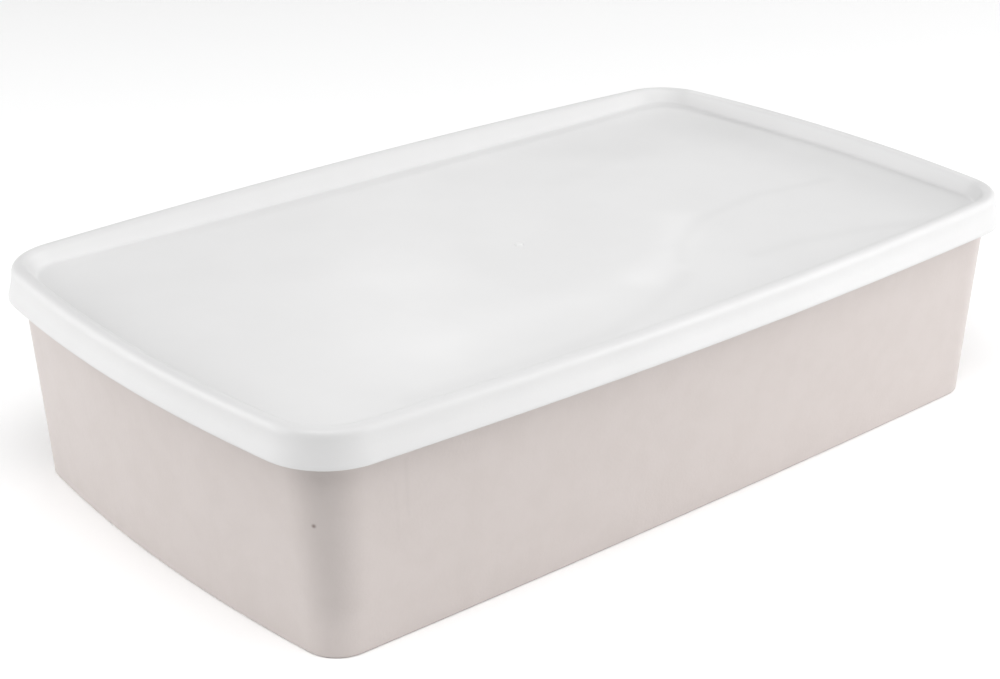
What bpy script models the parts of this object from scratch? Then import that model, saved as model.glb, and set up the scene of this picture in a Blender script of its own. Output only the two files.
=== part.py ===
"""A shut freezer container: a shallow tapered tub under a press-on lid.

Both pieces follow one plan shape, a rectangle whose sides bow gently outwards between
round corners. The tub is solid, because the shut lid hides its inside. The lid is a thin
shell: a skirt that flares towards its lip, a narrow rolled rim, and a sunk panel that warps a
little along its edges. The origin is at the middle of the base, +X runs along the length, +Z is up.
"""

import math
from collections import namedtuple

import bmesh
import bpy

# A plan shape: half sizes at the middle of each side, how far the ends and the long sides
# bow out, and the corner radius, all in metres.
Plan = namedtuple("Plan", "half_length half_width end_bow side_bow corner_radius")

# Driving dimensions, in metres.
LID_PLAN = Plan(0.1400, 0.0826, 0.0078, 0.0060, 0.0204)
BASE_PLAN = Plan(0.1304, 0.0725, 0.0054, 0.0017, 0.0105)
SKIRT_BOTTOM = 0.0565
TOTAL_HEIGHT = 0.0660

# The lid's skirt and rim, as insets from LID_PLAN.
LIP_HEIGHT = 0.0007
LIP_DROOP = 0.0008  # how much lower the lip hangs at the corners
FLARE_TOP = 0.0052  # height of the flare's upper end above the skirt's bottom edge
FLARE_INSET = 0.0012
SKIRT_INSET = 0.0014
RIM_WIDTH = 0.0038
PANEL_INSET = 0.0078
LID_WALL = 0.0010
LID_ROUNDING = 0.0022  # of the rim's outer edge; the lid's other edges take a share of it

# The lid's sunk panel.
PANEL_DEPTH = 0.0048
EDGE_SAG = 0.0018  # extra depth along the middle of each long side
CORNER_LIFT = 0.0022

# The tub.
WALL_INSET = 0.0039  # from LID_PLAN to the tub wall, at the skirt's bottom edge
NECK_HEIGHT = 0.0583
BEAD_INSET = 0.0028
BEAD_BOTTOM = 0.0590
BEAD_TOP = 0.0644
BEAD_WIDTH = 0.0013
BEAD_ROUNDING = 0.0010
BASE_ROUNDING = 0.0008
CLEARANCE = 0.00035

# How finely the shapes are divided.
END_STEPS = 2
SIDE_STEPS = 3
CORNER_STEPS = 8
WALL_STEPS = 3
PANEL_SCALES = (0.88, 0.70, 0.45, 0.20)
ROUNDING_SEGMENTS = 3


def arc(centre, radius, start, end, steps):
    """Points along an arc, without its last one."""
    return [
        (
            centre[0] + radius * math.cos(start + (end - start) * step / steps),
            centre[1] + radius * math.sin(start + (end - start) * step / steps),
        )
        for step in range(steps)
    ]


def corner_centre(plan, end_radius, side_radius):
    """Where the corner's arc is centred, so that it runs smoothly into both side arcs."""
    end_x = plan.half_length - end_radius
    side_y = plan.half_width - side_radius
    span = math.hypot(end_x, side_y)
    from_end = end_radius - plan.corner_radius
    from_side = side_radius - plan.corner_radius
    along = (from_end**2 - from_side**2 + span**2) / (2 * span)
    across = math.sqrt(from_end**2 - along**2)
    unit_x = -end_x / span
    unit_y = side_y / span
    foot_x = end_x + unit_x * along
    foot_y = unit_y * along
    return max(
        (foot_x - unit_y * across, foot_y + unit_x * across),
        (foot_x + unit_y * across, foot_y - unit_x * across),
        key=sum,
    )


def outline(plan, inset=0.0):
    """The plan shape as points, anticlockwise, moved inwards by the inset."""
    end_radius = (plan.half_width**2 + plan.end_bow**2) / (2 * plan.end_bow)
    side_radius = (plan.half_length**2 + plan.side_bow**2) / (2 * plan.side_bow)
    end_centre = (plan.half_length - end_radius, 0.0)
    side_centre = (0.0, plan.half_width - side_radius)
    corner = corner_centre(plan, end_radius, side_radius)
    end_angle = math.atan2(corner[1], corner[0] - end_centre[0])
    side_angle = math.atan2(corner[1] - side_centre[1], corner[0])
    quarter = arc(end_centre, end_radius - inset, 0.0, end_angle, END_STEPS)
    quarter += arc(corner, plan.corner_radius - inset, end_angle, side_angle, CORNER_STEPS)
    quarter += arc(side_centre, side_radius - inset, side_angle, math.pi / 2, SIDE_STEPS)
    half = quarter + [(0.0, plan.half_width - inset)] + [(-x, y) for x, y in quarter[:0:-1]]
    return half + [(-x, -y) for x, y in half]


def between(low, high, share):
    """The plan that lies a share of the way from one plan to another."""
    return Plan(*(a + (b - a) * share for a, b in zip(low, high)))


def panel_height(x, y):
    """Height of the panel's top face: lower along the long sides, higher at the corners."""
    along = min(1.0, abs(x) / (LID_PLAN.half_length - PANEL_INSET))
    across = min(1.0, abs(y) / (LID_PLAN.half_width - PANEL_INSET))
    sag = EDGE_SAG * (1 - along**2) * across**4
    lift = CORNER_LIFT * (along * across) ** 6
    return TOTAL_HEIGHT - PANEL_DEPTH - sag + lift


def lip_height(x, y):
    """Height of the lip's bottom edge, which hangs lower at the corners."""
    share = abs(x) / LID_PLAN.half_length * abs(y) / LID_PLAN.half_width
    return SKIRT_BOTTOM - LIP_DROOP * share**4


def ring(bm, points, height):
    """A closed row of vertices, at one height or at a height worked out for each point."""
    height_at = height if callable(height) else lambda x, y: height
    return [bm.verts.new((x, y, height_at(x, y))) for x, y in points]


def skin(bm, rings):
    """Faces between each row of vertices and the next one up or inwards."""
    for lower, upper in zip(rings, rings[1:]):
        for i, vertex in enumerate(lower):
            j = (i + 1) % len(lower)
            bm.faces.new((vertex, lower[j], upper[j], upper[i]))


def mark_rounding(bm, rows, shares):
    """Gives the edges along each row their share of the Bevel modifier's width."""
    weights = bm.edges.layers.float.new("bevel_weight_edge")
    for row, share in zip(rows, shares):
        for i, vertex in enumerate(row):
            bm.edges.get((vertex, row[(i + 1) % len(row)]))[weights] = share


def panel_rings(bm, inset, drop):
    """Rows that carry the panel's warp inwards from the inset, lowered by the drop."""
    edge = outline(LID_PLAN, inset)
    rows = []
    for scale in PANEL_SCALES:
        points = [(x * scale, y * scale) for x, y in edge]
        rows.append(ring(bm, points, lambda x, y: panel_height(x, y) - drop))
    return rows


def close_middle(bm, row, drop):
    """Triangles from the innermost row to a point at the panel's middle."""
    middle = bm.verts.new((0.0, 0.0, panel_height(0.0, 0.0) - drop))
    for i, vertex in enumerate(row):
        bm.faces.new((vertex, row[(i + 1) % len(row)], middle))


def new_object(name, bm, collection, material):
    bmesh.ops.recalc_face_normals(bm, faces=bm.faces)
    mesh = bpy.data.meshes.new(name)
    bm.to_mesh(mesh)
    bm.free()
    mesh.shade_smooth()
    mesh.set_sharp_from_angle(angle=math.radians(35))
    mesh.materials.append(material)
    piece = bpy.data.objects.new(name, mesh)
    collection.objects.link(piece)
    return piece


def plastic(name, colour, roughness):
    material = bpy.data.materials.new(name)
    material.use_nodes = True
    shader = material.node_tree.nodes["Principled BSDF"]
    shader.inputs["Base Color"].default_value = (*colour, 1.0)
    shader.inputs["Roughness"].default_value = roughness
    shader.inputs["Metallic"].default_value = 0.0
    return material


def round_edges(piece, width):
    rounding = piece.modifiers.new("Rounding", "BEVEL")
    rounding.width = width
    rounding.segments = ROUNDING_SEGMENTS
    rounding.limit_method = "WEIGHT"


def make_lid(collection):
    """The lid's outer face from the skirt's bottom edge to the panel, thickened inwards."""
    bm = bmesh.new()
    # Inset, height and share of the rounding of each row, from the skirt's bottom edge.
    skirt_rows = (
        (0.0, lip_height, 0.0),
        (0.0, lambda x, y: lip_height(x, y) + LIP_HEIGHT, 0.25),
        (FLARE_INSET, SKIRT_BOTTOM + FLARE_TOP, 0.5),
        (SKIRT_INSET, TOTAL_HEIGHT, 1.0),
        (SKIRT_INSET + RIM_WIDTH, TOTAL_HEIGHT, 0.4),
        (PANEL_INSET, panel_height, 0.4),
    )
    rings = [ring(bm, outline(LID_PLAN, inset), height) for inset, height, _ in skirt_rows]
    rings += panel_rings(bm, PANEL_INSET, 0.0)
    skin(bm, rings)
    close_middle(bm, rings[-1], 0.0)
    mark_rounding(bm, rings, [share for _, _, share in skirt_rows])
    lid = new_object("lid", bm, collection, plastic("white_plastic", (0.86, 0.86, 0.85), 0.35))
    round_edges(lid, LID_ROUNDING)
    shell = lid.modifiers.new("Wall", "SOLIDIFY")
    shell.thickness = LID_WALL
    shell.offset = -1.0
    shell.use_even_offset = True
    return lid


def make_tub(collection):
    """The tub as one solid: a tapered wall, the bead under the rim, and a top that
    follows the underside of the lid."""
    bm = bmesh.new()
    wall_top = Plan(
        LID_PLAN.half_length - WALL_INSET,
        LID_PLAN.half_width - WALL_INSET,
        LID_PLAN.end_bow,
        LID_PLAN.side_bow,
        LID_PLAN.corner_radius - WALL_INSET,
    )
    rings = []
    for step in range(WALL_STEPS + 1):
        height = NECK_HEIGHT * step / WALL_STEPS
        section = between(BASE_PLAN, wall_top, height / SKIRT_BOTTOM)
        rings.append(ring(bm, outline(section), height))
    panel_gap = LID_WALL + CLEARANCE
    bead_rows = (
        (BEAD_INSET, BEAD_BOTTOM),
        (BEAD_INSET, BEAD_TOP - BEAD_ROUNDING),
        (BEAD_INSET + BEAD_ROUNDING, BEAD_TOP),
        (BEAD_INSET + BEAD_WIDTH, BEAD_TOP),
        (PANEL_INSET - panel_gap, lambda x, y: panel_height(x, y) - panel_gap - CLEARANCE),
    )
    rings += [ring(bm, outline(LID_PLAN, inset), height) for inset, height in bead_rows]
    rings += panel_rings(bm, PANEL_INSET, panel_gap)
    skin(bm, rings)
    close_middle(bm, rings[-1], panel_gap)
    bm.faces.new(rings[0])
    mark_rounding(bm, rings, [1.0])
    tub = new_object("tub", bm, collection, plastic("greige_plastic", (0.66, 0.59, 0.56), 0.5))
    round_edges(tub, BASE_ROUNDING)
    return tub


def main():
    for old in list(bpy.data.objects):
        bpy.data.objects.remove(old)
    container = bpy.data.collections.new("freezer_container")
    bpy.context.scene.collection.children.link(container)
    make_tub(container)
    make_lid(container)


main()
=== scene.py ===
"""Dresses a shut freezer container: a tapered greige tub under a white press-on lid.

The operators build the tub, the lid, the gate mark on the lid's panel and the stage with
its lights and camera. All lengths are in metres. The origin is at the middle of the base,
+X runs along the length and +Z is up.
"""

import math
from collections import namedtuple

import bmesh
import bpy
import numpy as np
from mathutils import Matrix, Vector, noise


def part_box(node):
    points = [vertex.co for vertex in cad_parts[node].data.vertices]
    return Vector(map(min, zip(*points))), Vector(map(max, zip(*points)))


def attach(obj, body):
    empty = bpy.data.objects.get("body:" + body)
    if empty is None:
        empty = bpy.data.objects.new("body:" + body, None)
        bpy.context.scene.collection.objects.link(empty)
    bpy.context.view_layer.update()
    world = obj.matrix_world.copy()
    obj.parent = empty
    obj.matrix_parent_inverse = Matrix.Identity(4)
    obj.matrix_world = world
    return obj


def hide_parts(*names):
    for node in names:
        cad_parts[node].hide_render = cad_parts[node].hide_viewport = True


bl_info = {
    "name": "Freezer Container",
    "version": (1, 0, 0),
    "blender": (4, 5, 0),
    "location": "View3D > Sidebar > Container",
    "description": "Builds a shut freezer container with its plastics and a plain stage",
    "category": "Add Mesh",
}

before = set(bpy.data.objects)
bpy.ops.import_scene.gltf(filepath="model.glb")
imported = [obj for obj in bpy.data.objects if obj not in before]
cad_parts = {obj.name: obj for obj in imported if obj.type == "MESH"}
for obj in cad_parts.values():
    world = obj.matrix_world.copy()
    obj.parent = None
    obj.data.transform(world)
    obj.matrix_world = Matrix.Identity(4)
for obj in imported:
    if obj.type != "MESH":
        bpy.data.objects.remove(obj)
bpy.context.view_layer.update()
LID_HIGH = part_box("lid")[1]

# A plan shape: half sizes at the middle of each side, how far the ends and the long sides
# bow out, and the corner radius.
Plan = namedtuple("Plan", "half_length half_width end_bow side_bow corner_radius")

# One corner of a section: how far in from the plan's outline, its height, how much of the
# panel's warp and of the lip's droop it follows, and how far from it its rounding starts.
Turn = namedtuple("Turn", "inset height warp droop reach", defaults=(0.0, 0.0, 0.0))

# Points in a quarter of an outline: half an end, the corner and half a long side.
END_STEPS = 40
CORNER_STEPS = 20
SIDE_STEPS = 74
ROUNDING_STEPS = 7

# The lid's section, from the lip's bottom edge to the panel's border, as insets from the
# skirt's outline and heights above the lip's edge.
LIP_LAND = 0.0006
LIP_HEIGHT = 0.0009
INNER_LIP_HEIGHT = 0.0007
FLARE_TOP = 0.0052
FLARE_INSET = 0.0012
SKIRT_INSET = 0.0014
RIM_WIDTH = 0.0038
RIM_LEAN = 0.0006
PANEL_INSET = 0.0078
BORDER_INSET = 0.0094
LID_WALL = 0.0010
CLEARANCE = 0.00035

# The tub's section.
BASE_END_BOW = 0.0054
BASE_SIDE_BOW = 0.0017
BASE_CORNER_RADIUS = 0.0105
FOOT_HEIGHT = 0.0060
WALL_INSET = 0.0039
NECK_ABOVE_SKIRT = 0.0020
BEAD_ABOVE_NECK = 0.0007
BEAD_INSET = 0.0028
BEAD_LAND = 0.0008
BEAD_WIDTH = 0.0013
BEAD_BELOW_TOP = 0.0015
WALL_ROWS = 24

# The panel's waves: how many to a metre along and across, and where their noise is read.
BROAD_WAVES = ((14.0, 17.0), (3.1, 1.7, 0.4))
SMALL_WAVES = ((34.0, 40.0), (7.3, 2.9, 5.2))
SMALL_SHARE = 0.35

# Creases that warping left in the panel, each with its points, half width and depth.
PANEL_CREASES = {
    "long_crease": (
        ((0.022, -0.042), (0.033, -0.031), (0.050, -0.022), (0.080, -0.018), (0.107, -0.023)),
        0.0045,
        0.00010,
    ),
    "short_crease": (
        ((0.042, -0.052), (0.060, -0.053), (0.084, -0.059), (0.104, -0.067)),
        0.0045,
        0.00010,
    ),
    "near_fold": (
        (
            (-0.095, -0.064),
            (-0.046, -0.066),
            (-0.024, -0.064),
            (-0.008, -0.060),
            (0.016, -0.050),
        ),
        0.0050,
        0.00012,
    ),
}

# Painted light and shade on the panel: a painted sheen swirls across it, painted shade lies
# along its creases, near its ends and in its far corner, and painted light makes it paler
# along its border at the far side and the +X end: each tint has its points, half width and
# amount.
PANEL_PAINTED_LIGHT_AND_SHADE = {
    "pool": (((-0.074, -0.036), (-0.052, -0.006)), 0.038, 0.045),
    "sweep": (((-0.070, -0.045), (0.004, -0.044)), 0.014, 0.030),
    "hook": (((0.004, -0.044), (0.028, -0.034), (0.046, -0.018)), 0.011, 0.050),
    "far_sweep": (((-0.045, 0.002), (-0.020, 0.034), (-0.004, 0.064)), 0.024, 0.018),
    "eye": (((0.000, -0.018), (0.030, 0.012), (0.046, 0.040)), 0.018, -0.012),
    "far_patch": (((0.050, 0.062), (0.078, 0.038)), 0.016, -0.030),
    "far_patch_tail": (((0.040, 0.030), (0.072, 0.036)), 0.008, -0.015),
    "far_corner": (((0.080, 0.058), (0.118, 0.036)), 0.034, -0.045),
    "right_end": (((0.122, -0.056), (0.122, 0.052)), 0.026, -0.070),
    "left_end": (((-0.132, -0.030), (-0.128, 0.060)), 0.024, -0.025),
    "long_crease": (PANEL_CREASES["long_crease"][0], 0.0040, -0.035),
    "short_crease": (PANEL_CREASES["short_crease"][0], 0.0040, -0.030),
    "near_fold": (PANEL_CREASES["near_fold"][0], 0.0050, -0.030),
    "far_foot": (
        ((-0.122, 0.0705), (-0.060, 0.0728), (0.060, 0.0728), (0.122, 0.0705)),
        0.006,
        0.055,
    ),
    "end_wall": (((0.1318, -0.060), (0.1340, 0.0), (0.1318, 0.060)), 0.0042, 0.110),
}
# The whole panel is painted paler than the skirt, fading out at its border: painted light on
# its top.
PANEL_PAINTED_LIGHT = 0.038

# The gate mark: its place on the panel, and its profile as radii and heights.
GATE_PLACE = (-0.0054, -0.0024)
GATE_PROFILE = (
    (0.0, -0.0006),
    (0.0014, -0.0006),
    (0.0014, 0.0),
    (0.0012, 0.00018),
    (0.0009, 0.00030),
    (0.0005, 0.00037),
    (0.0, 0.0004),
)
GATE_SIDES = 24
GATE_PALENESS = 0.10

# The tub is painted a little darker along its near corner, painted shade where the corner
# faces away from the side lights, with faint upright rub lines beside it and a speck of dirt
# on it.
WALL_PAINTED_SHADE_AND_RUBS = {
    "near_corner": (((-0.1258, -0.0692, 0.056), (-0.1214, -0.0676, 0.016)), 0.010, -0.09),
    "rub_line": (((-0.1050, -0.0747, 0.052), (-0.1035, -0.0738, 0.036)), 0.0012, -0.028),
    "second_rub_line": (((-0.1078, -0.0744, 0.046), (-0.1062, -0.0734, 0.030)), 0.0010, -0.02),
}
SPECK = (-0.1272, -0.0672, 0.0385)
SPECK_RADIUS = 0.0009

# The stage's lights, each with the look that sets its brightness, its size, its heading
# from the camera's side and its lift above the floor in degrees, and its distance.
LIGHTS = {
    "top_sheet": ("top", (1.2, 1.0), 0.0, 65.0, 1.4),
    "back_strip": ("back", (0.5, 0.12), 180.0, 26.0, 1.2),
    "left_softbox": ("left", (0.9, 0.9), -97.0, 22.0, 1.3),
    "near_left_softbox": ("near_left", (0.4, 0.5), -78.0, 16.0, 0.8),
    "right_softbox": ("right", (0.9, 0.9), 125.0, 25.0, 1.3),
    "right_sheet": ("right_sheet", (1.4, 1.2), 100.0, 30.0, 1.5),
    "near_right_softbox": ("near_right", (0.3, 0.5), 78.0, 16.0, 0.8),
}
LIGHT_TARGET = (0.0, 0.0, 0.04)
CAMERA_TARGET = (0.00092, 0.01304, 0.02366)
CAMERA_ROLL = math.radians(0.293)
SENSOR_WIDTH = 36.0
FLOOR_REACH = 4.0


class ContainerSizes(bpy.types.PropertyGroup):
    """Sizes of the tub and the lid."""

    half_length: bpy.props.FloatProperty(
        name="Half Length",
        description="From the middle to the end of the lid's skirt",
        default=LID_HIGH.x,
        min=0.05,
        unit="LENGTH",
        subtype="DISTANCE",
    )
    half_width: bpy.props.FloatProperty(
        name="Half Width",
        description="From the middle to the long side of the lid's skirt",
        default=LID_HIGH.y,
        min=0.03,
        unit="LENGTH",
        subtype="DISTANCE",
    )
    height: bpy.props.FloatProperty(
        name="Height",
        description="From the base to the top of the lid's rim",
        default=LID_HIGH.z,
        min=0.02,
        unit="LENGTH",
        subtype="DISTANCE",
    )
    skirt_bottom: bpy.props.FloatProperty(
        name="Skirt Bottom",
        description="Height of the lid's lower edge at the middle of its sides",
        default=0.0565,
        min=0.01,
        unit="LENGTH",
        subtype="DISTANCE",
    )
    lip_droop: bpy.props.FloatProperty(
        name="Lip Droop",
        description="How much lower the lid's edge would hang at square corners",
        default=0.0008,
        unit="LENGTH",
        subtype="DISTANCE",
    )
    end_bow: bpy.props.FloatProperty(
        name="End Bow",
        description="How far the short sides of the lid bow out",
        default=0.0078,
        unit="LENGTH",
        subtype="DISTANCE",
    )
    side_bow: bpy.props.FloatProperty(
        name="Side Bow",
        description="How far the long sides of the lid bow out",
        default=0.0060,
        unit="LENGTH",
        subtype="DISTANCE",
    )
    corner_radius: bpy.props.FloatProperty(
        name="Corner Radius",
        description="Radius of the lid's corners",
        default=0.0204,
        unit="LENGTH",
        subtype="DISTANCE",
    )
    base_half_length: bpy.props.FloatProperty(
        name="Base Half Length",
        description="From the middle to the end of the tub's base",
        default=0.1304,
        unit="LENGTH",
        subtype="DISTANCE",
    )
    base_half_width: bpy.props.FloatProperty(
        name="Base Half Width",
        description="From the middle to the long side of the tub's base",
        default=0.0725,
        unit="LENGTH",
        subtype="DISTANCE",
    )
    panel_depth: bpy.props.FloatProperty(
        name="Panel Depth",
        description="How far the panel lies below the rim's top",
        default=0.0048,
        unit="LENGTH",
        subtype="DISTANCE",
    )
    edge_sag: bpy.props.FloatProperty(
        name="Edge Sag",
        description="Extra depth of the panel along the middle of each long side",
        default=0.0018,
        unit="LENGTH",
        subtype="DISTANCE",
    )
    corner_lift: bpy.props.FloatProperty(
        name="Corner Lift",
        description="How much higher the panel lies in its corners",
        default=0.0022,
        unit="LENGTH",
        subtype="DISTANCE",
    )
    panel_waves: bpy.props.FloatProperty(
        name="Panel Waves",
        description="Height of the gentle waves that cooling left in the panel",
        default=0.00025,
        unit="LENGTH",
        subtype="DISTANCE",
    )


class ContainerFinish(bpy.types.PropertyGroup):
    """Colours and surface of the two plastics."""

    tub_colour: bpy.props.FloatVectorProperty(
        name="Tub Colour",
        description="Warm greige of the tub",
        default=(0.556, 0.505, 0.485),
        min=0.0,
        max=1.0,
        subtype="COLOR",
    )
    tub_shade: bpy.props.FloatVectorProperty(
        name="Tub Mottle",
        description="Darker greige of the mottling in the tub",
        default=(0.544, 0.493, 0.472),
        min=0.0,
        max=1.0,
        subtype="COLOR",
    )
    tub_roughness: bpy.props.FloatProperty(
        name="Tub Roughness",
        description="Roughness of the tub's satin face",
        default=0.38,
        min=0.0,
        max=1.0,
        subtype="FACTOR",
    )
    lid_colour: bpy.props.FloatVectorProperty(
        name="Lid Colour",
        description="Milky white of the lid",
        default=(0.662, 0.660, 0.660),
        min=0.0,
        max=1.0,
        subtype="COLOR",
    )
    lid_shade: bpy.props.FloatVectorProperty(
        name="Lid Mottle",
        description="Cooler white of the clouding in the lid",
        default=(0.652, 0.650, 0.650),
        min=0.0,
        max=1.0,
        subtype="COLOR",
    )
    lid_roughness: bpy.props.FloatProperty(
        name="Lid Roughness",
        description="Roughness of the lid's satin face",
        default=0.45,
        min=0.0,
        max=1.0,
        subtype="FACTOR",
    )
    speck_colour: bpy.props.FloatVectorProperty(
        name="Speck Colour",
        description="Colour of the speck of dirt on the tub's corner",
        default=(0.20, 0.155, 0.14),
        min=0.0,
        max=1.0,
        subtype="COLOR",
    )


class StageLook(bpy.types.PropertyGroup):
    """Floor, lights and camera."""

    floor_colour: bpy.props.FloatVectorProperty(
        name="Floor Colour",
        description="Colour of the floor",
        default=(0.97, 0.97, 0.97),
        min=0.0,
        max=1.0,
        subtype="COLOR",
    )
    room: bpy.props.FloatProperty(
        name="Room Light",
        description="Even light from the room all round",
        default=0.26,
        min=0.0,
    )
    top: bpy.props.FloatProperty(
        name="Top Light", description="Brightness of the sheet overhead", default=3.6, min=0.0
    )
    back: bpy.props.FloatProperty(
        name="Back Light", description="Brightness of the strip behind", default=4.5, min=0.0
    )
    left: bpy.props.FloatProperty(
        name="Left Light", description="Brightness of the left softbox", default=1.68, min=0.0
    )
    near_left: bpy.props.FloatProperty(
        name="Near Left Light",
        description="Brightness of the small softbox close on the left",
        default=2.65,
        min=0.0,
    )
    right: bpy.props.FloatProperty(
        name="Right Light",
        description="Brightness of the right softbox",
        default=1.12,
        min=0.0,
    )
    right_sheet: bpy.props.FloatProperty(
        name="Right Sheet Light",
        description="Brightness of the large sheet on the right",
        default=0.74,
        min=0.0,
    )
    near_right: bpy.props.FloatProperty(
        name="Near Right Light",
        description="Brightness of the small softbox close on the right",
        default=5.05,
        min=0.0,
    )
    camera_turn: bpy.props.FloatProperty(
        name="Camera Turn",
        description="How far the camera stands round from the long side's middle",
        default=math.radians(40.893),
        subtype="ANGLE",
        unit="ROTATION",
    )
    camera_tilt: bpy.props.FloatProperty(
        name="Camera Tilt",
        description="How far the camera looks down",
        default=math.radians(23.855),
        subtype="ANGLE",
        unit="ROTATION",
    )
    camera_distance: bpy.props.FloatProperty(
        name="Camera Distance",
        description="From the camera to the point it looks at",
        default=0.6274,
        unit="LENGTH",
        subtype="DISTANCE",
    )
    lens: bpy.props.FloatProperty(
        name="Lens", description="Focal length in millimetres", default=73.59, min=10.0
    )


# Shape of the two pieces.


def arc(centre, radius, start, end, steps):
    """Points along an arc, without its last one."""
    angles = [start + (end - start) * step / steps for step in range(steps)]
    return [
        (centre[0] + radius * math.cos(angle), centre[1] + radius * math.sin(angle))
        for angle in angles
    ]


def corner_centre(plan, end_radius, side_radius):
    """Where the corner's arc is centred, so that it runs smoothly into both side arcs."""
    end = Vector((plan.half_length - end_radius, 0.0))
    side = Vector((0.0, plan.half_width - side_radius))
    span = (side - end).length
    toward_side = (side - end) / span
    square_to_it = Vector((-toward_side.y, toward_side.x))
    from_end = end_radius - plan.corner_radius
    from_side = side_radius - plan.corner_radius
    along = (from_end**2 - from_side**2 + span**2) / (2 * span)
    across = math.sqrt(from_end**2 - along**2)
    foot = end + toward_side * along
    return max((foot + square_to_it * across, foot - square_to_it * across), key=sum)


def outline(plan, inset=0.0):
    """The plan shape as points, anticlockwise from the middle of the +X end, moved inwards
    by the inset."""
    end_radius = (plan.half_width**2 + plan.end_bow**2) / (2 * plan.end_bow)
    side_radius = (plan.half_length**2 + plan.side_bow**2) / (2 * plan.side_bow)
    end_centre = (plan.half_length - end_radius, 0.0)
    side_centre = (0.0, plan.half_width - side_radius)
    corner = corner_centre(plan, end_radius, side_radius)
    end_angle = math.atan2(corner.y, corner.x - end_centre[0])
    side_angle = math.atan2(corner.y - side_centre[1], corner.x)
    quarter = arc(end_centre, end_radius - inset, 0.0, end_angle, END_STEPS)
    quarter += arc(corner, plan.corner_radius - inset, end_angle, side_angle, CORNER_STEPS)
    quarter += arc(side_centre, side_radius - inset, side_angle, math.pi / 2, SIDE_STEPS)
    half = quarter + [(0.0, plan.half_width - inset)] + [(-x, y) for x, y in quarter[:0:-1]]
    return half + [(-x, -y) for x, y in half]


def lid_plan(sizes):
    return Plan(
        sizes.half_length,
        sizes.half_width,
        sizes.end_bow,
        sizes.side_bow,
        sizes.corner_radius,
    )


def tub_plan(sizes, height):
    """The tub wall's plan at a height: the base's plan growing towards the lid's."""
    base = Plan(
        sizes.base_half_length,
        sizes.base_half_width,
        BASE_END_BOW,
        BASE_SIDE_BOW,
        BASE_CORNER_RADIUS,
    )
    top = Plan(
        sizes.half_length - WALL_INSET,
        sizes.half_width - WALL_INSET,
        sizes.end_bow,
        sizes.side_bow,
        sizes.corner_radius - WALL_INSET,
    )
    share = height / sizes.skirt_bottom
    return Plan(*(low + (high - low) * share for low, high in zip(base, top)))


def crease_depth(x, y):
    """How deep the panel's creases are at a place."""
    place = Vector((x, y))
    deepest = 0.0
    for points, half_width, depth in PANEL_CREASES.values():
        for first, last in zip(points, points[1:]):
            line = Vector(last) - Vector(first)
            from_first = place - Vector(first)
            share = max(0.0, min(1.0, from_first.dot(line) / line.length_squared))
            near = 1 - (from_first - line * share).length / half_width
            if near > 0:
                deepest = max(deepest, depth * near * near * (3 - 2 * near))
    return deepest


def wave_height(x, y, per_metre, shift):
    return noise.noise(Vector((x * per_metre[0], y * per_metre[1], 0.0)) + Vector(shift))


def panel_waves(sizes, x, y):
    """Gentle waves in the panel, which die out towards its edges, and its creases."""
    along = min(1.0, abs(x) / (sizes.half_length - PANEL_INSET))
    across = min(1.0, abs(y) / (sizes.half_width - PANEL_INSET))
    fade = (1 - along**6) * (1 - across**6)
    waves = wave_height(x, y, *BROAD_WAVES) + SMALL_SHARE * wave_height(x, y, *SMALL_WAVES)
    return sizes.panel_waves * fade * waves - crease_depth(x, y)


def panel_warp(sizes, x, y):
    """How far the panel lies above its mean level: lower along the long sides, higher in
    the corners, with gentle waves between."""
    along = min(1.0, abs(x) / (sizes.half_length - PANEL_INSET))
    across = min(1.0, abs(y) / (sizes.half_width - PANEL_INSET))
    sag = sizes.edge_sag * (1 - along**2) * across**4
    lift = sizes.corner_lift * (along * across) ** 6
    return lift - sag + panel_waves(sizes, x, y)


def lip_droop(sizes, x, y):
    """How far the lip hangs below its height at the middle of the sides, as a negative:
    about half of the Lip Droop at the round corners."""
    share = abs(x) / sizes.half_length * abs(y) / sizes.half_width
    return -sizes.lip_droop * share**4


def rounded(turns):
    """The section's points from the first turn to the last, each corner between them
    rounded off."""
    points = [turns[0][:4]]
    for before, turn, after in zip(turns, turns[1:], turns[2:]):
        corner = Vector(turn[:4])
        legs = []
        for other in (before, after):
            leg = Vector(other[:4]) - corner
            legs.append(corner + leg * (turn.reach / math.hypot(leg.x, leg.y)))
        steps = ROUNDING_STEPS if turn.reach else 0
        for step in range(steps + 1):
            share = step / steps if steps else 0.0
            start = legs[0].lerp(corner, share)
            end = corner.lerp(legs[1], share)
            points.append(tuple(start.lerp(end, share)))
    points.append(turns[-1][:4])
    return points


def add_row(bm, points, height_at):
    """A closed row of vertices whose heights are worked out for each point."""
    return [bm.verts.new((x, y, height_at(x, y))) for x, y in points]


def join_rows(bm, rows):
    """Faces between each row of vertices and the next."""
    for lower, upper in zip(rows, rows[1:]):
        for i, vertex in enumerate(lower):
            j = (i + 1) % len(lower)
            bm.faces.new((vertex, lower[j], upper[j], upper[i]))


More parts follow.
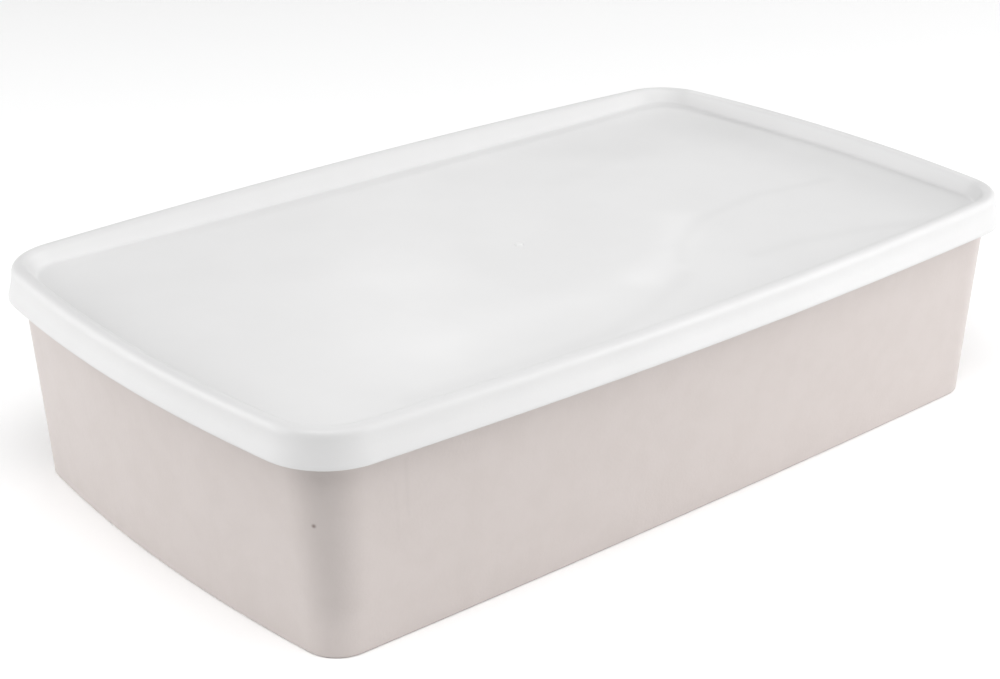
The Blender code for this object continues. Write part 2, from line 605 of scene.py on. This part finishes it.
def fill_row(bm, row, height_at):
    """A grid of faces that blends between the four edges of a closed row."""
    corner = END_STEPS + CORNER_STEPS // 2
    long_edge = 2 * (SIDE_STEPS + CORNER_STEPS // 2)
    short_edge = 2 * corner
    turn = row[corner:] + row[:corner]
    far = turn[: long_edge + 1]
    left = turn[long_edge : long_edge + short_edge + 1]
    near = turn[long_edge + short_edge : 2 * long_edge + short_edge + 1]
    right = (turn + turn[:1])[2 * long_edge + short_edge :]
    near, right = near[::-1], right[::-1]
    grid = [far]
    for step in range(1, short_edge):
        down = step / short_edge
        line = [right[step]]
        for place in range(1, long_edge):
            over = place / long_edge
            point = (
                far[place].co * (1 - down)
                + near[place].co * down
                + right[step].co * (1 - over)
                + left[step].co * over
                - far[0].co * (1 - down) * (1 - over)
                - far[-1].co * (1 - down) * over
                - near[0].co * down * (1 - over)
                - near[-1].co * down * over
            )
            line.append(bm.verts.new((point.x, point.y, height_at(point.x, point.y))))
        line.append(left[step])
        grid.append(line)
    grid.append(near)
    for upper, lower in zip(grid, grid[1:]):
        for i in range(long_edge):
            bm.faces.new((upper[i], upper[i + 1], lower[i + 1], lower[i]))


def section_rows(bm, sizes, points):
    """Rows of vertices round the lid's plan for the points of a section."""
    rows = []
    for inset, height, warp, droop in points:
        rows.append(
            add_row(
                bm,
                outline(lid_plan(sizes), inset),
                lambda x, y: height
                + warp * panel_warp(sizes, x, y)
                + droop * lip_droop(sizes, x, y),
            )
        )
    return rows


def panel_painted_light(sizes, places):
    """How much lighter or darker the panel's colour is painted at each place: painted light
    and shade, paler than the skirt over its middle.
    """
    edge = (sizes.half_length - PANEL_INSET, sizes.half_width - PANEL_INSET)
    outward = np.minimum(np.abs(places) / edge, 1.0)
    paleness = PANEL_PAINTED_LIGHT * np.prod(1 - outward**24, axis=1)
    for points, half_width, amount in PANEL_PAINTED_LIGHT_AND_SHADE.values():
        mask = np.zeros(len(places))
        for first, last in zip(np.array(points), np.array(points)[1:]):
            line = last - first
            share = np.clip((places - first) @ line / (line @ line), 0.0, 1.0)
            distance = np.linalg.norm(places - first - share[:, None] * line, axis=1)
            near = np.clip(1 - distance / half_width, 0.0, 1.0)
            mask = np.maximum(mask, near**2 * (3 - 2 * near))
        paleness += amount * mask
    return paleness


def set_paleness(piece, values):
    """Keeps each point's paleness in the mesh, where the lid's material reads it: the
    panel's painted light and shade, and the gate mark's paler tone.
    """
    layer = piece.data.attributes.new("paleness", "FLOAT", "POINT")
    layer.data.foreach_set("value", np.asarray(values, dtype=np.float32))


def new_piece(name, bm, material):
    bmesh.ops.recalc_face_normals(bm, faces=bm.faces)
    mesh = bpy.data.meshes.new(name)
    bm.to_mesh(mesh)
    bm.free()
    mesh.shade_smooth()
    mesh.materials.append(material)
    piece = bpy.data.objects.new(name, mesh)
    bpy.context.scene.collection.objects.link(piece)
    return piece


# Surface effects that both plastics share.


def new_group(name, inputs, outputs):
    """An empty node group: a vector input first, then inputs given as (name, default),
    which are vectors where the default is a tuple, and float outputs."""
    group = bpy.data.node_groups.new(name, "ShaderNodeTree")
    group.interface.new_socket("Vector", in_out="INPUT", socket_type="NodeSocketVector")
    for label, default in inputs:
        kind = "NodeSocketVector" if isinstance(default, tuple) else "NodeSocketFloat"
        socket = group.interface.new_socket(label, in_out="INPUT", socket_type=kind)
        socket.default_value = default
    for label in outputs:
        group.interface.new_socket(label, in_out="OUTPUT", socket_type="NodeSocketFloat")
    start = group.nodes.new("NodeGroupInput")
    end = group.nodes.new("NodeGroupOutput")
    return group, start, end


def wire(tree, node_type, settings=(), **inputs):
    """Adds a node, sets its properties, and fills its inputs with values or links. Input
    names are given with underscores, and in0, in1 and so on pick inputs by number."""
    node = tree.nodes.new(node_type)
    for label, value in settings:
        setattr(node, label, value)
    for label, value in inputs.items():
        if label.startswith("in"):
            socket = node.inputs[int(label[2:])]
        else:
            socket = node.inputs[label.replace("_", " ")]
        if isinstance(value, bpy.types.NodeSocket):
            tree.links.new(value, socket)
        else:
            socket.default_value = value
    return node


def build_moulded_skin():
    """Fine grain and soft mottling that a mould leaves in plastic."""
    group, start, end = new_group(
        "Moulded Skin",
        (("Grain Size", 0.0009), ("Mottle Size", 0.012)),
        ("Grain", "Mottle"),
    )
    links = group.links
    per_grain = wire(group, "ShaderNodeMath", [("operation", "DIVIDE")], in0=1.0)
    links.new(start.outputs["Grain Size"], per_grain.inputs[1])
    per_mottle = wire(group, "ShaderNodeMath", [("operation", "DIVIDE")], in0=1.0)
    links.new(start.outputs["Mottle Size"], per_mottle.inputs[1])
    grain = wire(
        group,
        "ShaderNodeTexNoise",
        Vector=start.outputs["Vector"],
        Scale=per_grain.outputs[0],
        Detail=1.0,
        Roughness=0.55,
    )
    mottle = wire(
        group,
        "ShaderNodeTexNoise",
        Vector=start.outputs["Vector"],
        Scale=per_mottle.outputs[0],
        Detail=3.0,
        Roughness=0.6,
    )
    spread = wire(
        group,
        "ShaderNodeMapRange",
        [("interpolation_type", "SMOOTHSTEP")],
        Value=mottle.outputs["Fac"],
        From_Min=0.36,
        From_Max=0.66,
    )
    links.new(grain.outputs["Fac"], end.inputs["Grain"])
    links.new(spread.outputs["Result"], end.inputs["Mottle"])
    return group


def build_handling_marks():
    """Faint hairlines and rubbed patches from stacking and wiping."""
    group, start, end = new_group(
        "Handling Marks",
        (("Line Spacing", 0.02), ("Rub Size", 0.03)),
        ("Hairlines", "Rubs"),
    )
    links = group.links
    per_line = wire(group, "ShaderNodeMath", [("operation", "DIVIDE")], in0=1.0)
    links.new(start.outputs["Line Spacing"], per_line.inputs[1])
    per_rub = wire(group, "ShaderNodeMath", [("operation", "DIVIDE")], in0=1.0)
    links.new(start.outputs["Rub Size"], per_rub.inputs[1])
    stretched = wire(
        group,
        "ShaderNodeVectorMath",
        [("operation", "MULTIPLY")],
        in0=start.outputs["Vector"],
        in1=(0.25, 1.0, 1.0),
    )
    ripples = wire(
        group,
        "ShaderNodeTexNoise",
        Vector=stretched.outputs["Vector"],
        Scale=per_line.outputs[0],
        Detail=0.0,
    )
    from_crossing = wire(
        group,
        "ShaderNodeMath",
        [("operation", "SUBTRACT")],
        in0=ripples.outputs["Fac"],
        in1=0.5,
    )
    distance = wire(
        group, "ShaderNodeMath", [("operation", "ABSOLUTE")], in0=from_crossing.outputs[0]
    )
    lines = wire(
        group,
        "ShaderNodeMapRange",
        Value=distance.outputs[0],
        From_Min=0.0,
        From_Max=0.004,
        To_Min=1.0,
        To_Max=0.0,
    )
    patches = wire(
        group,
        "ShaderNodeTexNoise",
        Vector=start.outputs["Vector"],
        Scale=per_rub.outputs[0],
        Detail=1.0,
    )
    rubs = wire(
        group,
        "ShaderNodeMapRange",
        [("interpolation_type", "SMOOTHSTEP")],
        Value=patches.outputs["Fac"],
        From_Min=0.5,
        From_Max=0.7,
    )
    broken = wire(
        group,
        "ShaderNodeMath",
        [("operation", "MULTIPLY")],
        in0=lines.outputs["Result"],
        in1=rubs.outputs["Result"],
    )
    links.new(broken.outputs[0], end.inputs["Hairlines"])
    links.new(rubs.outputs["Result"], end.inputs["Rubs"])
    return group


def build_soft_stroke():
    """A mask that is 1 along the line between two points and fades out to both sides."""
    group, start, end = new_group(
        "Soft Stroke",
        (("Start", (0.0, 0.0, 0.0)), ("End", (0.0, 0.0, 0.0)), ("Half Width", 0.01)),
        ("Mask",),
    )
    links = group.links
    from_start = wire(
        group,
        "ShaderNodeVectorMath",
        [("operation", "SUBTRACT")],
        in0=start.outputs["Vector"],
        in1=start.outputs["Start"],
    ).outputs["Vector"]
    line = wire(
        group,
        "ShaderNodeVectorMath",
        [("operation", "SUBTRACT")],
        in0=start.outputs["End"],
        in1=start.outputs["Start"],
    ).outputs["Vector"]
    reach = wire(
        group, "ShaderNodeVectorMath", [("operation", "DOT_PRODUCT")], in0=from_start, in1=line
    )
    length = wire(
        group, "ShaderNodeVectorMath", [("operation", "DOT_PRODUCT")], in0=line, in1=line
    )
    share = wire(
        group,
        "ShaderNodeMath",
        [("operation", "DIVIDE"), ("use_clamp", True)],
        in0=reach.outputs["Value"],
        in1=length.outputs["Value"],
    )
    foot = wire(group, "ShaderNodeVectorMath", [("operation", "SCALE")], in0=line)
    links.new(share.outputs[0], foot.inputs["Scale"])
    distance = wire(
        group,
        "ShaderNodeVectorMath",
        [("operation", "DISTANCE")],
        in0=from_start,
        in1=foot.outputs["Vector"],
    )
    mask = wire(
        group,
        "ShaderNodeMapRange",
        [("interpolation_type", "SMOOTHSTEP")],
        Value=distance.outputs["Value"],
        From_Min=start.outputs["Half Width"],
        From_Max=0.0,
    )
    links.new(mask.outputs["Result"], end.inputs["Mask"])
    return group


def shared_group(name, build):
    return bpy.data.node_groups.get(name) or build()


def place_group(tree, group, vector, **values):
    node = tree.nodes.new("ShaderNodeGroup")
    node.node_tree = group
    tree.links.new(vector, node.inputs["Vector"])
    for label, value in values.items():
        node.inputs[label.replace("_", " ")].default_value = value
    return node


def add_tints(tree, place, tints):
    """The sum of soft strokes: each tint has its points, half width and amount."""
    total = 0.0
    for points, half_width, amount in tints.values():
        widest = 0.0
        for first, last in zip(points, points[1:]):
            stroke = place_group(
                tree,
                shared_group("Soft Stroke", build_soft_stroke),
                place,
                Start=first,
                End=last,
                Half_Width=half_width,
            )
            widest = wire(
                tree,
                "ShaderNodeMath",
                [("operation", "MAXIMUM")],
                in0=stroke.outputs["Mask"],
                in1=widest,
            ).outputs[0]
        total = wire(
            tree,
            "ShaderNodeMath",
            [("operation", "MULTIPLY_ADD")],
            in0=widest,
            in1=amount,
            in2=total,
        ).outputs[0]
    return total


def tinted(tree, colour, total):
    """The colour made lighter or darker by the tints' total."""
    factor = wire(tree, "ShaderNodeMath", [("operation", "ADD")], in0=total, in1=1.0)
    scaled = wire(tree, "ShaderNodeVectorMath", [("operation", "SCALE")], in0=colour)
    tree.links.new(factor.outputs[0], scaled.inputs["Scale"])
    return scaled.outputs["Vector"]


def new_material(name):
    material = bpy.data.materials.new(name)
    material.use_nodes = True
    tree = material.node_tree
    return material, tree, tree.nodes["Principled BSDF"]


def greige_satin(finish):
    """Greige plastic: fine grain, soft mottling and faint upright draw lines, with painted
    shade along the near corner, the rub lines and the speck."""
    material, tree, shader = new_material("greige_satin")
    place = tree.nodes.new("ShaderNodeTexCoord").outputs["Object"]
    skin = place_group(
        tree,
        shared_group("Moulded Skin", build_moulded_skin),
        place,
        Grain_Size=0.0008,
        Mottle_Size=0.009,
    )
    marks = place_group(
        tree,
        shared_group("Handling Marks", build_handling_marks),
        place,
        Rub_Size=0.024,
    )
    flattened = wire(
        tree,
        "ShaderNodeVectorMath",
        [("operation", "MULTIPLY")],
        in0=place,
        in1=(1.0, 1.0, 0.03),
    )
    draw_lines = wire(
        tree,
        "ShaderNodeTexNoise",
        Vector=flattened.outputs["Vector"],
        Scale=420.0,
        Detail=1.0,
    )
    colour = wire(
        tree,
        "ShaderNodeMix",
        [("data_type", "RGBA")],
        in0=skin.outputs["Mottle"],
        in6=(*finish.tub_colour, 1.0),
        in7=(*finish.tub_shade, 1.0),
    )
    speck = add_tints(tree, place, {"speck": ((SPECK, SPECK), SPECK_RADIUS, 1.0)})
    # The speck over the colour with painted shade along the near corner and the rub lines.
    specked = wire(
        tree,
        "ShaderNodeMix",
        [("data_type", "RGBA")],
        in0=speck,
        in6=tinted(tree, colour.outputs[2], add_tints(tree, place, WALL_PAINTED_SHADE_AND_RUBS)),
        in7=(*finish.speck_colour, 1.0),
    )
    tree.links.new(specked.outputs[2], shader.inputs["Base Color"])
    rough = wire(
        tree,
        "ShaderNodeMapRange",
        Value=marks.outputs["Rubs"],
        To_Min=finish.tub_roughness,
        To_Max=finish.tub_roughness + 0.06,
    )
    tree.links.new(rough.outputs["Result"], shader.inputs["Roughness"])
    drawn = wire(
        tree,
        "ShaderNodeMath",
        [("operation", "MULTIPLY_ADD")],
        in0=draw_lines.outputs["Fac"],
        in1=0.5,
        in2=skin.outputs["Grain"],
    )
    bump = wire(
        tree,
        "ShaderNodeBump",
        Strength=0.35,
        Distance=0.00012,
        Height=drawn.outputs[0],
    )
    tree.links.new(bump.outputs["Normal"], shader.inputs["Normal"])
    shader.inputs["IOR"].default_value = 1.49
    return material


def milky_satin(finish):
    """Milky white plastic: satin, with a little clouding and faint hairlines, paler or
    darker where the mesh's paleness says so: painted light and shade on the panel."""
    material, tree, shader = new_material("milky_satin")
    place = tree.nodes.new("ShaderNodeTexCoord").outputs["Object"]
    skin = place_group(
        tree,
        shared_group("Moulded Skin", build_moulded_skin),
        place,
        Grain_Size=0.0010,
        Mottle_Size=0.030,
    )
    marks = place_group(
        tree,
        shared_group("Handling Marks", build_handling_marks),
        place,
        Line_Spacing=0.045,
        Rub_Size=0.040,
    )
    colour = wire(
        tree,
        "ShaderNodeMix",
        [("data_type", "RGBA")],
        in0=skin.outputs["Mottle"],
        in6=(*finish.lid_colour, 1.0),
        in7=(*finish.lid_shade, 1.0),
    )
    # The panel's painted light and shade, and the gate mark's paler tone, read from the mesh.
    paleness = wire(tree, "ShaderNodeAttribute", [("attribute_name", "paleness")])
    tree.links.new(
        tinted(tree, colour.outputs[2], paleness.outputs["Fac"]),
        shader.inputs["Base Color"],
    )
    rough = wire(
        tree,
        "ShaderNodeMapRange",
        Value=marks.outputs["Rubs"],
        To_Min=finish.lid_roughness,
        To_Max=finish.lid_roughness + 0.05,
    )
    tree.links.new(rough.outputs["Result"], shader.inputs["Roughness"])
    relief = wire(
        tree,
        "ShaderNodeMath",
        [("operation", "MULTIPLY_ADD")],
        in0=marks.outputs["Hairlines"],
        in1=-0.4,
        in2=skin.outputs["Grain"],
    )
    bump = wire(
        tree,
        "ShaderNodeBump",
        Strength=0.15,
        Distance=0.00008,
        Height=relief.outputs[0],
    )
    tree.links.new(bump.outputs["Normal"], shader.inputs["Normal"])
    shader.inputs["IOR"].default_value = 1.50
    return material


def shared_material(name, build, finish):
    return bpy.data.materials.get(name) or build(finish)


class ContainerMakeTub(bpy.types.Operator):
    """Builds the tapered tub, closed at the top under the lid"""

    bl_idname = "container.make_tub"
    bl_label = "Make Tub"

    def execute(self, context):
        sizes = context.scene.container_sizes
        material = shared_material(
            "greige_satin", greige_satin, context.scene.container_finish
        )
        neck = sizes.skirt_bottom + NECK_ABOVE_SKIRT
        bm = bmesh.new()
        foot = rounded(
            (
                Turn(FOOT_HEIGHT, 0.0),
                Turn(0.0, 0.0, reach=0.0009),
                Turn(0.0, FOOT_HEIGHT),
            )
        )
        rows = [
            add_row(bm, outline(tub_plan(sizes, height), inset), lambda x, y: height)
            for inset, height, _, _ in foot
        ]
        for step in range(1, WALL_ROWS + 1):
            height = FOOT_HEIGHT + (neck - FOOT_HEIGHT) * step / WALL_ROWS
            rows.append(add_row(bm, outline(tub_plan(sizes, height)), lambda x, y: height))
        panel_level = sizes.height - sizes.panel_depth
        gap = LID_WALL + CLEARANCE
        low = panel_level - gap - CLEARANCE
        bead_bottom = neck + BEAD_ABOVE_NECK
        bead_top = sizes.height - BEAD_BELOW_TOP
        bead = rounded(
            (
                Turn(BEAD_INSET + BEAD_LAND, bead_bottom),
                Turn(BEAD_INSET, bead_bottom, reach=0.0004),
                Turn(BEAD_INSET, bead_top, reach=0.0010),
                Turn(BEAD_INSET + BEAD_WIDTH, bead_top, reach=0.0002),
                Turn(PANEL_INSET - gap, low, 1.0, reach=0.0004),
                Turn(BORDER_INSET, low, 1.0),
            )
        )
        rows += section_rows(bm, sizes, bead)
        join_rows(bm, rows)
        fill_row(bm, rows[0], lambda x, y: 0.0)
        fill_row(bm, rows[-1], lambda x, y: low + panel_warp(sizes, x, y))
        tub = new_piece("tub_wall", bm, material)
        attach(tub, "root")
        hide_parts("tub")
        return {"FINISHED"}


class ContainerMakeLid(bpy.types.Operator):
    """Builds the lid as a closed shell: flared skirt, rounded rim and sunk panel"""

    bl_idname = "container.make_lid"
    bl_label = "Make Lid"

    def execute(self, context):
        sizes = context.scene.container_sizes
        material = shared_material(
            "milky_satin", milky_satin, context.scene.container_finish
        )
        bottom = sizes.skirt_bottom
        top = sizes.height
        level = top - sizes.panel_depth
        under = level - LID_WALL
        rim_end = SKIRT_INSET + RIM_WIDTH
        outside = rounded(
            (
                Turn(LIP_LAND, bottom, droop=1.0),
                Turn(0.0, bottom, droop=1.0, reach=0.0004),
                Turn(0.0, bottom + LIP_HEIGHT, droop=1.0, reach=0.0004),
                Turn(FLARE_INSET, bottom + FLARE_TOP, reach=0.0018),
                Turn(SKIRT_INSET, top, reach=0.0023),
                Turn(rim_end, top, reach=0.0013),
                Turn(PANEL_INSET, level, 1.0, reach=0.0009),
                Turn(BORDER_INSET, level, 1.0),
            )
        )
        inside = rounded(
            (
                Turn(LID_WALL, bottom, droop=1.0),
                Turn(LID_WALL, bottom + INNER_LIP_HEIGHT, droop=1.0, reach=0.0003),
                Turn(FLARE_INSET + LID_WALL, bottom + FLARE_TOP, reach=0.0020),
                Turn(SKIRT_INSET + LID_WALL, top - LID_WALL, reach=0.0012),
                Turn(rim_end - RIM_LEAN, top - LID_WALL, reach=0.0006),
                Turn(PANEL_INSET - RIM_LEAN, under, 1.0, reach=0.0009),
                Turn(BORDER_INSET, under, 1.0),
            )
        )
        bm = bmesh.new()
        outer = section_rows(bm, sizes, outside)
        inner = section_rows(bm, sizes, inside)
        join_rows(bm, inner[::-1] + outer)
        fill_row(bm, outer[-1], lambda x, y: level + panel_warp(sizes, x, y))
        fill_row(bm, inner[-1], lambda x, y: under + panel_warp(sizes, x, y))
        lid = new_piece("lid_shell", bm, material)
        # The panel's painted light and shade, kept in the mesh for its material.
        places = np.array([vertex.co[:2] for vertex in lid.data.vertices])
        set_paleness(lid, panel_painted_light(sizes, places))
        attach(lid, "root")
        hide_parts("lid")
        return {"FINISHED"}


class ContainerMakeGateMark(bpy.types.Operator):
    """Builds the small raised mark that the mould's gate left near the panel's middle"""

    bl_idname = "container.make_gate_mark"
    bl_label = "Make Gate Mark"

    def execute(self, context):
        sizes = context.scene.container_sizes
        material = shared_material(
            "milky_satin", milky_satin, context.scene.container_finish
        )
        x, y = GATE_PLACE
        level = sizes.height - sizes.panel_depth + panel_warp(sizes, x, y)
        bm = bmesh.new()
        rows = []
        for radius, height in GATE_PROFILE:
            count = GATE_SIDES if radius else 1
            rows.append(
                [
                    bm.verts.new(
                        (
                            x + radius * math.cos(2 * math.pi * i / count),
                            y + radius * math.sin(2 * math.pi * i / count),
                            level + height,
                        )
                    )
                    for i in range(count)
                ]
            )
        join_rows(bm, rows[1:-1])
        for tip, ring in ((rows[0][0], rows[1]), (rows[-1][0], rows[-2])):
            for i, vertex in enumerate(ring):
                bm.faces.new((tip, vertex, ring[(i + 1) % len(ring)]))
        mark = new_piece("gate_mark", bm, material)
        set_paleness(mark, [GATE_PALENESS] * len(mark.data.vertices))
        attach(mark, "root")
        return {"FINISHED"}


def add_light(name, look):
    """One of the area lights, aimed at the container. Its brightness is the same whatever
    its size."""
    brightness, size, turn, lift, distance = LIGHTS[name]
    lamp = bpy.data.lights.new(name, "AREA")
    lamp.shape = "RECTANGLE"
    lamp.size, lamp.size_y = size
    lamp.energy = getattr(look, brightness) * math.pi * size[0] * size[1]
    light = bpy.data.objects.new(name, lamp)
    heading = math.radians(turn) - look.camera_turn
    rise = math.radians(lift)
    offset = Vector(
        (
            math.sin(heading) * math.cos(rise),
            -math.cos(heading) * math.cos(rise),
            math.sin(rise),
        )
    )
    light.location = Vector(LIGHT_TARGET) + offset * distance
    light.rotation_euler = offset.to_track_quat("Z", "Y").to_euler()
    light.visible_camera = False
    bpy.context.scene.collection.objects.link(light)


def add_camera(look):
    """A camera that looks down on the near corner of the container."""
    turn, tilt, roll = look.camera_turn, look.camera_tilt, CAMERA_ROLL
    right = Vector((math.cos(turn), -math.sin(turn), 0.0))
    forward = Vector(
        (math.sin(turn) * math.cos(tilt), math.cos(turn) * math.cos(tilt), -math.sin(tilt))
    )
    up = right.cross(forward)
    across = right * math.cos(roll) + up * math.sin(roll)
    upright = up * math.cos(roll) - right * math.sin(roll)
    lens = bpy.data.cameras.new("camera")
    lens.sensor_width = SENSOR_WIDTH
    lens.lens = look.lens
    lens.clip_start = 0.01
    camera = bpy.data.objects.new("camera", lens)
    target = Vector(CAMERA_TARGET)
    facing = Matrix((across, upright, -forward)).transposed().to_4x4()
    camera.matrix_world = Matrix.Translation(target - forward * look.camera_distance) @ facing
    bpy.context.scene.collection.objects.link(camera)
    bpy.context.scene.camera = camera


def floor_paper(look):
    """Matt white paper with a barely visible tooth."""
    material, tree, shader = new_material("floor_paper")
    place = tree.nodes.new("ShaderNodeTexCoord").outputs["Object"]
    tooth = wire(tree, "ShaderNodeTexNoise", Vector=place, Scale=600.0, Detail=2.0)
    bump = wire(
        tree, "ShaderNodeBump", Strength=0.1, Distance=0.0002, Height=tooth.outputs["Fac"]
    )
    tree.links.new(bump.outputs["Normal"], shader.inputs["Normal"])
    shader.inputs["Base Color"].default_value = (*look.floor_colour, 1.0)
    shader.inputs["Roughness"].default_value = 0.9
    return material


class ContainerMakeStage(bpy.types.Operator):
    """Builds the pale floor, the soft lights and the camera"""

    bl_idname = "container.make_stage"
    bl_label = "Make Stage"

    def execute(self, context):
        scene = context.scene
        look = scene.container_stage
        bm = bmesh.new()
        bmesh.ops.create_grid(bm, x_segments=8, y_segments=8, size=FLOOR_REACH)
        floor = new_piece("floor", bm, floor_paper(look))
        world = bpy.data.worlds.new("room")
        world.use_nodes = True
        sky = world.node_tree.nodes["Background"]
        sky.inputs["Color"].default_value = (1.0, 1.0, 1.0, 1.0)
        sky.inputs["Strength"].default_value = look.room
        scene.world = world
        for name in LIGHTS:
            add_light(name, look)
        add_camera(look)
        scene.view_settings.view_transform = "Standard"
        return {"FINISHED"}


class ContainerPanel(bpy.types.Panel):
    """Lists the container's sizes, finish and stage, with a button for each piece"""

    bl_idname = "VIEW3D_PT_freezer_container"
    bl_label = "Freezer Container"
    bl_space_type = "VIEW_3D"
    bl_region_type = "UI"
    bl_category = "Container"

    def draw(self, context):
        layout = self.layout
        for group in (
            context.scene.container_sizes,
            context.scene.container_finish,
            context.scene.container_stage,
        ):
            column = layout.column(align=True)
            for label in group.__annotations__:
                column.prop(group, label)
        for operator in OPERATORS:
            layout.operator(operator.bl_idname)


OPERATORS = (
    ContainerMakeTub,
    ContainerMakeLid,
    ContainerMakeGateMark,
    ContainerMakeStage,
)
CLASSES = (ContainerSizes, ContainerFinish, StageLook, *OPERATORS, ContainerPanel)


def register():
    for item in CLASSES:
        bpy.utils.register_class(item)
    bpy.types.Scene.container_sizes = bpy.props.PointerProperty(type=ContainerSizes)
    bpy.types.Scene.container_finish = bpy.props.PointerProperty(type=ContainerFinish)
    bpy.types.Scene.container_stage = bpy.props.PointerProperty(type=StageLook)


def unregister():
    del bpy.types.Scene.container_stage
    del bpy.types.Scene.container_finish
    del bpy.types.Scene.container_sizes
    for item in reversed(CLASSES):
        bpy.utils.unregister_class(item)


def main():
    register()
    bpy.ops.container.make_tub()
    bpy.ops.container.make_lid()
    bpy.ops.container.make_gate_mark()
    bpy.ops.container.make_stage()


if __name__ == "__main__":
    main()
